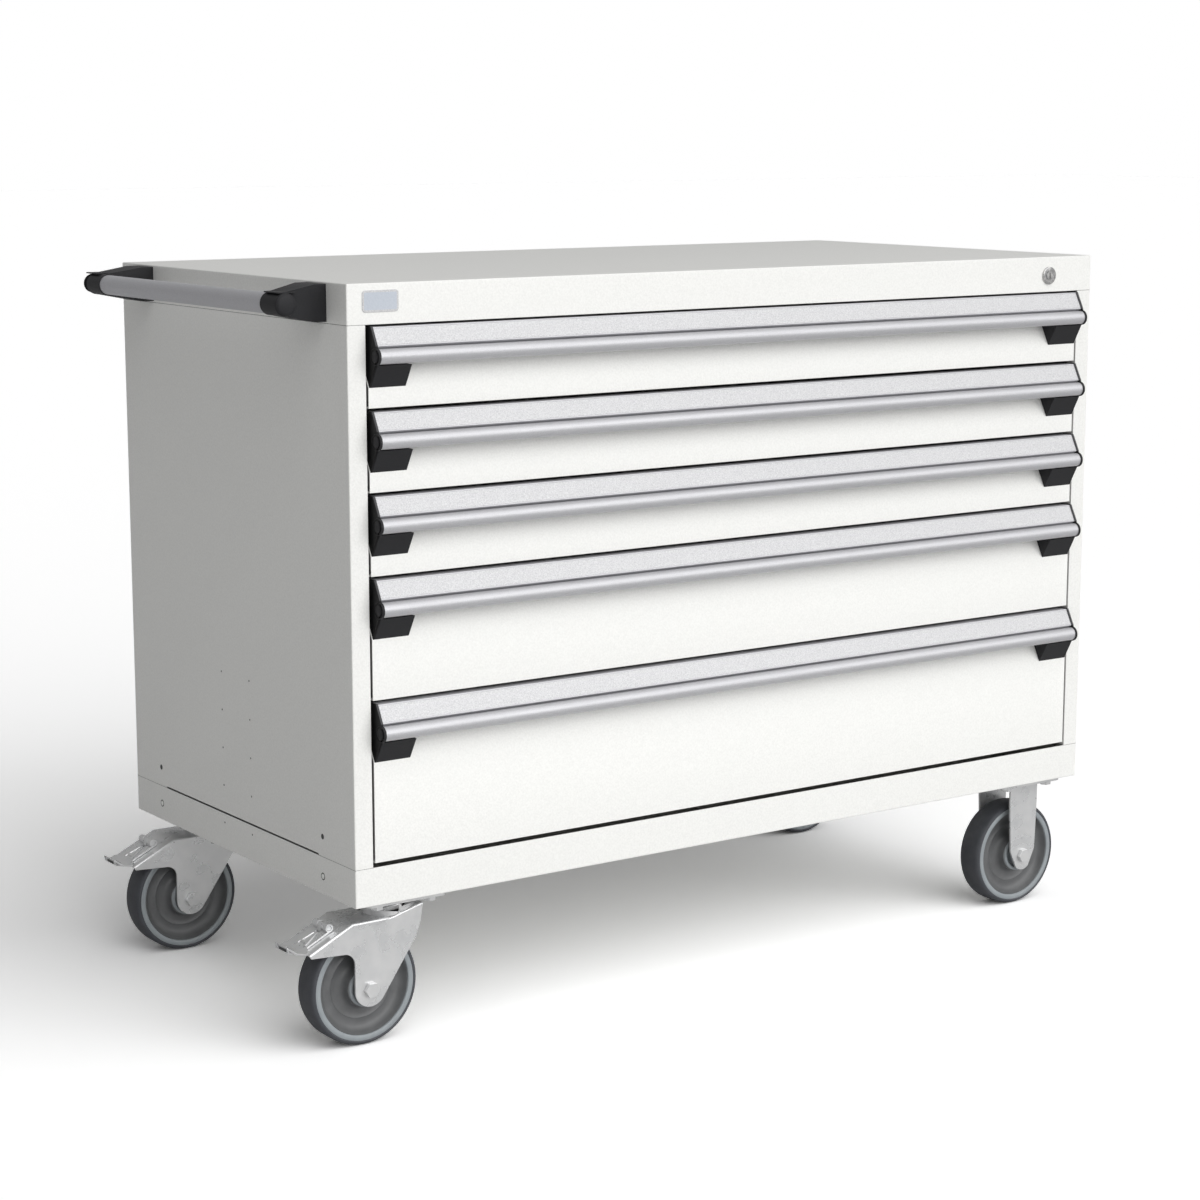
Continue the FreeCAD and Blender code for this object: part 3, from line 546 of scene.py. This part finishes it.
def buildDomes():
    tubeLow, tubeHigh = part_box("push_handle_tube")
    x, z = (tubeLow.x + tubeHigh.x) / 2, (tubeLow.z + tubeHigh.z) / 2
    shape = bmesh.new()
    for side, outward in (("front", -1), ("rear", 1)):
        low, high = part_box(f"push_handle_bracket_{side}")
        end = low.y if outward < 0 else high.y
        angles = [pi / 2 * k / dome["steps"] for k in range(dome["steps"] + 1)]
        arc = [(dome["radius"] * sin(a), dome["rise"] * cos(a)) for a in angles]
        arc[0] = (dome["pole"], dome["rise"])
        profile = [(r * mm, end + outward * (rise - dome["sunk"]) * mm) for r, rise in arc]
        profile += [(r * mm, end - outward * dome["depth"] * mm) for r in (dome["radius"], dome["pole"])]
        addTurned(shape, profile, x, z, 64)
    newPiece("socket_domes", closeMesh(shape, 50), blackNylon, "cabinet")


# A flat flange carries each arm's top out over the socket
visor = {"outward": 9.5, "inward": 16.0, "thickness": 1.6, "aboveTube": 2.2, "span": (3.0, 38.0)}


def buildVisors():
    tubeLow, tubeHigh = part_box("push_handle_tube")
    x = (tubeLow.x + tubeHigh.x) / 2
    shape = bmesh.new()
    for side, inner in (("front", 1), ("rear", -1)):
        low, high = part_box(f"push_handle_bracket_{side}")
        start = low.y if inner > 0 else high.y
        y0, y1 = sorted(start + inner * along * mm for along in visor["span"])
        x0, x1 = x - visor["outward"] * mm, x + visor["inward"] * mm
        z = tubeHigh.z + visor["aboveTube"] * mm
        addPrism(shape, [(x0, y0), (x1, y0), (x1, y1), (x0, y1)], z - visor["thickness"] * mm, z, axis=2)
    visors = newPiece("socket_visors", closeMesh(shape), blackNylon, "cabinet")
    softenEdges(visors, 0.4)


buildDomes()
buildVisors()
print("push handle made")

# ---- wheels; radius and offset from the wheel's middle, in millimetres
wheel = {"tyre": [(69.6, 19.2), (71.4, 19.8), (73.4, 19.0), (75.0, 17.0), (76, 13), (76.2, 0)],
         "tyreInside": (69.0, 18.4),
         "ring": [(63, 8), (63, 18.6), (63.7, 19.2), (69.7, 19.2), (70.3, 18.6), (70.3, 8)],
         "web": [(63.2, 9), (63.2, 17.2), (61.8, 17.6), (60.0, 14.5), (57.0, 9.4), (52.6, 7.8), (44, 7.3),
                 (43.2, 8), (42.2, 7.3), (32, 7.7), (28.5, 9.6), (26.6, 14), (25.8, 21), (24.5, 21.4),
                 (24.5, 6)],
         "hub": [(24.8, 12), (24.8, 23.5), (24.0, 24.2), (20.8, 24.2), (20.2, 23.4), (19.8, 18), (14, 18),
                 (13.4, 29.4), (6.1, 29.4), (6.1, 12)]}


def mirrored(profile):
    return profile + [(r, -offset) for r, offset in reversed(profile)]


def buildWheel(side, end):
    low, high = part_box(f"{side}_tyre_{end}")
    x, y, z = (low + high) / 2
    body = f"{side}_wheel_{end}"
    inside, halfInside = wheel["tyreInside"]
    tyre = [(inside, halfInside)] + mirrored(wheel["tyre"])[:-1] + [(inside, -halfInside)]
    made = {"tyre": (tyreRubber, tyre, [f"{side}_tyre_{end}"], "tyre_rubber"),
            "ring": (wheelLight, mirrored(wheel["ring"]), [], "wheel_plastic"),
            "web": (wheelGrey, mirrored(wheel["web"]), [f"{side}_wheel_hub_{end}"], "wheel_plastic"),
            "hub": (wheelLight, mirrored(wheel["hub"]), [], "wheel_plastic")}
    for part, (material, profile, replaced, slot) in made.items():
        shape = bmesh.new()
        addTurned(shape, [(r * mm, y + offset * mm) for r, offset in profile], x, z)
        newPiece(f"{side}_{end}_wheel_{part}", closeMesh(shape, 50), material, body, replaced)


for side in ("left", "right"):
    for end in ("front", "rear"):
        buildWheel(side, end)
for node in ("swivel_plates", "rigid_brackets"):
    easedCopy(node, 0.5)
for node in ("rigid_axles", "swivel_axle_front", "swivel_axle_rear"):
    easedCopy(node, 0.6)
for node in ("lock_bar", "cabinet_rails", "back_panel", "caster_bolts"):
    easedCopy(node, 0.25, 1)

# A small round dimple on each rigid bracket; place is from its wheel's middle, in millimetres
bracketDimple = {"place": (0.0, -34.0, 27.0), "steps": ((3.4, 0.3), (2.2, 0.5)), "corners": 28}
dimplePlaces = []
for end in ("front", "rear"):
    wheelLow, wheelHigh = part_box(f"right_tyre_{end}")
    dimplePlaces.append((wheelLow + wheelHigh) / 2 + Vector(bracketDimple["place"]) * mm)
buildStuds("bracket_dimples", dimplePlaces, (0, -1, 0), bracketDimple["steps"], zincSteel, "cabinet",
           bracketDimple["corners"])

# A pressed hood is rounded along its top edges, where the sheet is bent down into the cheeks
# cheek, armLevel and holeAt are from the wheel's middle, and the two slopes tell a level edge and a sharp one
hood = {"bend": 2.8, "edge": 0.35, "cheek": 34.0, "armLevel": 56.0, "near": 0.1, "levelSlope": 0.6,
        "sharpAngle": 0.6, "deckDrop": 26.0, "hole": (3.4, 0.36), "holeSunk": 0.3, "holeAt": (13.0, 18.0)}


def buildHood(end):
    piece = easedCopy(f"swivel_fork_{end}", 0)
    wheelLow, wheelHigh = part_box(f"left_tyre_{end}")
    axle = (wheelLow + wheelHigh) / 2
    shape = bmesh.new()
    shape.from_mesh(piece.data)
    weight = shape.edges.layers.float.new("bevel_weight_edge")
    armLevel, near = axle.z + hood["armLevel"] * mm, hood["near"] * mm
    for edge in shape.edges:
        a, b = (vert.co for vert in edge.verts)
        onCheek = abs(abs(a.y - axle.y) - hood["cheek"] * mm) < near and abs(a.y - b.y) < near
        alongTop = min(a.z, b.z) > armLevel and abs(a.z - b.z) < hood["levelSlope"] * abs(a.x - b.x)
        if onCheek and alongTop:
            edge[weight] = 1.0
        elif edge.is_manifold and edge.calc_face_angle(0) > hood["sharpAngle"]:
            edge[weight] = hood["edge"] / hood["bend"]
    shape.to_mesh(piece.data)
    shape.free()
    softenEdges(piece, hood["bend"], 3)
    piece.modifiers["softEdges"].limit_method = "WEIGHT"
    piece.modifiers["softEdges"].use_clamp_overlap = False
    across, behind = hood["holeAt"]
    deck = baseLow.z - (hood["deckDrop"] + hood["holeSunk"]) * mm
    spot = (axle.x + across * mm, axle.y + behind * mm, deck)
    # A near-black disc on the deck is painted shade for the hole through it
    buildStuds(f"deck_hole_{end}", [spot], (0, 0, 1), [hood["hole"]], holeShadePainted, f"swivel_{end}",
               28)


# Ribs pressed into the pedal in the shape of a trestle: (along the plate, to the front), in millimetres
pedal = {"armEnd": (86.0, 58.5), "deckEnd": 24.5, "surface": 2.9,
         "ribWidth": 3.4, "ribRise": 1.5, "ribSunk": 0.5,
         "ribs": (((57, 3), (79, 12)), ((57, -3), (79, -7)), ((74, 9), (74, -5))),
         "lip": ((96.5, 0.0), (103.0, 0.2), (106.0, 2.2), (107.4, 9.0), (105.8, 9.2), (104.2, 3.8),
                 (102.0, 2.6), (96.5, 2.5)), "lipWidth": 33.0,
         "slot": (107.0, 3.2, 6.6), "slotSpan": (-5.0, 12.5), "slotDepth": (1.5, 0.1), "slotLean": 0.21}


def buildPedal(end):
    easedCopy(f"brake_pedal_{end}", 0.6)
    wheelLow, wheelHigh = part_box(f"left_tyre_{end}")
    axle = (wheelLow + wheelHigh) / 2
    armU, armV = pedal["armEnd"]
    deckV = (baseLow.z - axle.z) / mm - hood["deckDrop"]
    slope = Vector((-(armU - pedal["deckEnd"]), 0, armV - deckV)).normalized()
    upward = Vector((slope.z, 0, -slope.x)) * (-1 if slope.x > 0 else 1)

    def onPlate(u, forward, rise):
        flat = Vector((-u, -forward, armV + (deckV - armV) * (armU - u) / (armU - pedal["deckEnd"])))
        return axle + (flat + upward * (pedal["surface"] + rise)) * mm

    shape = bmesh.new()
    for (u0, f0), (u1, f1) in pedal["ribs"]:
        run = Vector((u1 - u0, f1 - f0)).normalized() * pedal["ribWidth"] / 2
        feet = [(u0 - run.y, f0 + run.x), (u1 - run.y, f1 + run.x), (u1 + run.y, f1 - run.x),
                (u0 + run.y, f0 - run.x)]
        bottom = [onPlate(u, f, -pedal["ribSunk"]) for u, f in feet]
        ridge = [onPlate(u, f, pedal["ribRise"]) for u, f in feet]
        addBlock(shape, bottom, ridge)
    ribs = newPiece(f"pedal_ribs_{end}", closeMesh(shape), zincSteel, f"brake_{end}")
    softenEdges(ribs, 1.2, 3)

    # The tongue's end is turned up steeply, and a near-black strip on the part that stands is painted shade
    # for the slot through it
    def standing(points):
        return [(axle.x - u * mm, axle.z + (armV + v) * mm) for u, v in points]

    shape = bmesh.new()
    half = pedal["lipWidth"] / 2 * mm
    addPrism(shape, standing(pedal["lip"]), axle.y - half, axle.y + half, axis=1)
    lip = newPiece(f"pedal_lip_{end}", closeMesh(shape), zincSteel, f"brake_{end}")
    softenEdges(lip, 0.5)
    u, v0, v1 = pedal["slot"]
    u0, u1 = (u - depth for depth in pedal["slotDepth"])
    lean = pedal["slotLean"] * (v1 - v0)
    strip = standing(((u0, v0), (u1, v0), (u1 + lean, v1), (u0 + lean, v1)))
    nearest, farthest = pedal["slotSpan"]
    shape = bmesh.new()
    addPrism(shape, strip, axle.y - farthest * mm, axle.y - nearest * mm, axis=1)
    newPiece(f"pedal_slot_{end}", closeMesh(shape), holeShadePainted, f"brake_{end}")


for end in ("front", "rear"):
    buildHood(end)
    buildPedal(end)
print("casters made")

# ---- drawer boxes and the lock
for number in drawerNumbers:
    easedCopy(f"drawer_{number}_box", 0.4)
for node in ("lock_body", "lock_plug"):
    easedCopy(node, 0.3)


# ---- thin grey strips, painted shade, in the seams where the lid and the base meet the folded sides
seam = {"height": 0.55, "inset": 0.03, "depth": 1.2, "besideFront": 3.0}


def buildSeams():
    frontLow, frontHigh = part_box("drawer_1_front")
    openingLeft = frontLow.x - seam["besideFront"] * mm
    openingRight = frontHigh.x + seam["besideFront"] * mm
    shape = bmesh.new()
    inset, depth = seam["inset"] * mm, seam["depth"] * mm
    for level in (lidBottom, baseHigh.z):
        z0, z1 = level - seam["height"] / 2 * mm, level + seam["height"] / 2 * mm
        strips = [(left + inset, left + depth, front + inset, back - inset),
                  (right - depth, right - inset, front + inset, back - inset),
                  (left + depth, right - depth, back - depth, back - inset),
                  (left + depth, openingLeft, front + inset, front + depth),
                  (openingRight, right - depth, front + inset, front + depth)]
        for x0, x1, y0, y1 in strips:
            addPrism(shape, [(x0, y0), (x1, y0), (x1, y1), (x0, y1)], z0, z1, axis=2)
    newPiece("housing_seam_shade", closeMesh(shape), seamShadePainted, "cabinet")


buildSeams()


# places on the side panel: y from its front edge and z from the base's underside, in millimetres
sideMarks = {"rows": (36.5, 87.5, 138.4, 189.4, 240.5), "columns": (267.8, 345.0),
             "plugs": ((80.7, 74.8), (532.3, 75.1)), "screws": ((81.0, 23.6), (532.3, 24.0)), "sunk": 0.4,
             "dimple": [(1.3, 0.45)], "plug": [(3.6, 0.45)], "rim": [(4.8, 0.5)],
             "head": [(3.4, 0.7), (2.4, 0.3)]}


def buildSideMarks():
    # The dimples, the holes and the rings round the screw heads are near-black discs: painted shade inside
    # them
    dimples = [(across, up) for across in sideMarks["columns"] for up in sideMarks["rows"]]
    kinds = (("side_dimples", dimples, sideMarks["dimple"], holeShadePainted, 12),
             ("side_holes", sideMarks["plugs"], sideMarks["plug"], holeShadePainted, 24),
             ("screw_shade_rings", sideMarks["screws"], sideMarks["rim"], holeShadePainted, 32),
             ("screw_heads", sideMarks["screws"], sideMarks["head"], whiteCoat, 32))
    for side, outside, outward in (("left", left, -1), ("right", right, 1)):
        x = outside - outward * sideMarks["sunk"] * mm
        for name, spots, steps, material, corners in kinds:
            places = [(x, front + across * mm, baseLow.z + up * mm) for across, up in spots]
            buildStuds(f"{name}_{side}", places, (outward, 0, 0), steps, material, "cabinet",
                       corners)


buildSideMarks()

# ---- a plain nameplate in the corner of the lid
plate = {"width": 50, "height": 26, "fromLeft": 46, "fromTop": 21.5, "corner": 4, "rise": 0.9, "sunk": 0.2,
         "border": 2.6, "fieldProud": 0.15}


def buildNameplate():
    def slab(margin, y0, y1):
        halfWidth, halfHeight = plate["width"] / 2 - margin, plate["height"] / 2 - margin
        radius = max(plate["corner"] - margin, 1)
        signs = ((-1, -1), (1, -1), (1, 1), (-1, 1))
        outline = roundOutline([(i * halfWidth, j * halfHeight, radius) for i, j in signs], 6)
        x, z = left + plate["fromLeft"] * mm, top - plate["fromTop"] * mm
        places = [(x + u * mm, z + v * mm) for u, v in outline]
        shape = bmesh.new()
        addPrism(shape, places, front - y0 * mm, front - y1 * mm, axis=1)
        return closeMesh(shape)

    rimMesh = slab(0, -plate["sunk"], plate["rise"])
    fieldMesh = slab(plate["border"], 0, plate["rise"] + plate["fieldProud"])
    rim = newPiece("nameplate_rim", rimMesh, labelFace, "cabinet")
    softenEdges(rim, 0.3)
    newPiece("nameplate_field", fieldMesh, badgeEnamel, "cabinet")


buildNameplate()
print("small parts made")

# ---- stage
# each lamp: strength, softness in degrees, and the side it comes from (right, front, up)
studio = {"floorSize": 80.0, "floorColour": "#dedede", "floorGain": 2.04, "ambient": 0.17, "mirrored": 0.40,
          "lamps": {"key": (2.16, 85, (0.17, -0.76, 0.63)), "fill": (0.76, 60, (0.25, -0.93, 0.26))}}


def buildStudio():
    half = studio["floorSize"] / 2
    mesh = bpy.data.meshes.new("floor")
    corners = [(-half, -half, 0), (half, -half, 0), (half, half, 0), (-half, half, 0)]
    mesh.from_pydata(corners, [], [(0, 1, 2, 3)])
    floor = bpy.data.objects.new("floor", mesh)
    bpy.context.scene.collection.objects.link(floor)
    material, tree, shader, _ = newMaterial("paperSeamlessWhite", 0.0, 0.7)
    # Paper lit a little more than the object: its own shade is scaled up where the camera looks at it
    seen = addNode(tree, "ShaderNodeLightPath").outputs["Is Camera Ray"]
    gain = addNode(tree, "ShaderNodeMapRange", {"Value": seen, "To Min": 1.0, "To Max": studio["floorGain"]})
    paper = addNode(tree, "ShaderNodeVectorMath", {0: hexColour(studio["floorColour"])[:3],
                                                   "Scale": gain.outputs[0]}, operation="SCALE")
    matt = addNode(tree, "ShaderNodeBsdfDiffuse", {"Color": paper.outputs[0]})
    tree.links.new(matt.outputs[0], tree.nodes["Material Output"].inputs["Surface"])
    tree.nodes.remove(shader)
    mesh.materials.append(material)

    world = bpy.data.worlds.new("softRoom")
    bpy.context.scene.world = world
    world.use_nodes = True
    tree = world.node_tree
    ambient = tree.nodes["Background"]
    ambient.inputs["Color"].default_value = (1, 1, 1, 1)
    ambient.inputs["Strength"].default_value = studio["ambient"]
    backdrop = addNode(tree, "ShaderNodeBackground", {"Color": (1, 1, 1, 1), "Strength": 1.0})
    room = addNode(tree, "ShaderNodeBackground", {"Color": (1, 1, 1, 1), "Strength": studio["mirrored"]})
    ray = addNode(tree, "ShaderNodeLightPath").outputs
    shiny = {0: ray["Is Glossy Ray"], 1: ambient.outputs[0], 2: room.outputs[0]}
    lit = addNode(tree, "ShaderNodeMixShader", shiny)
    mixed = addNode(tree, "ShaderNodeMixShader", {0: ray["Is Camera Ray"], 1: lit.outputs[0],
                                                  2: backdrop.outputs[0]})
    tree.links.new(mixed.outputs[0], tree.nodes["World Output"].inputs["Surface"])

    for name, (strength, softness, side) in studio["lamps"].items():
        light = bpy.data.lights.new(name, "SUN")
        light.energy = strength
        light.angle = radians(softness)
        lamp = bpy.data.objects.new(name, light)
        bpy.context.scene.collection.objects.link(lamp)
        lamp.rotation_mode = "QUATERNION"
        lamp.rotation_quaternion = (-Vector(side)).to_track_quat("-Z", "Y")


buildStudio()

# ---- camera; turn is to the left of straight ahead, and place is from the lid's front left corner, in metres
view = {"lens": 82.05, "turn": 34.95, "tilt": 9.94, "place": (-1.606, -2.819, 0.189)}


def buildCamera():
    data = bpy.data.cameras.new("camera")
    data.lens = view["lens"]
    data.sensor_width = 36
    data.clip_end = 100
    camera = bpy.data.objects.new("camera", data)
    bpy.context.scene.collection.objects.link(camera)
    turn, tilt = radians(view["turn"]), radians(view["tilt"])
    looking = Vector((sin(turn) * cos(tilt), cos(turn) * cos(tilt), -sin(tilt)))
    camera.location = Vector((left, front, top)) + Vector(view["place"])
    camera.rotation_mode = "QUATERNION"
    camera.rotation_quaternion = looking.to_track_quat("-Z", "Y")
    bpy.context.scene.camera = camera
    bpy.context.scene.view_settings.view_transform = "Standard"


buildCamera()
print("studio and camera made")
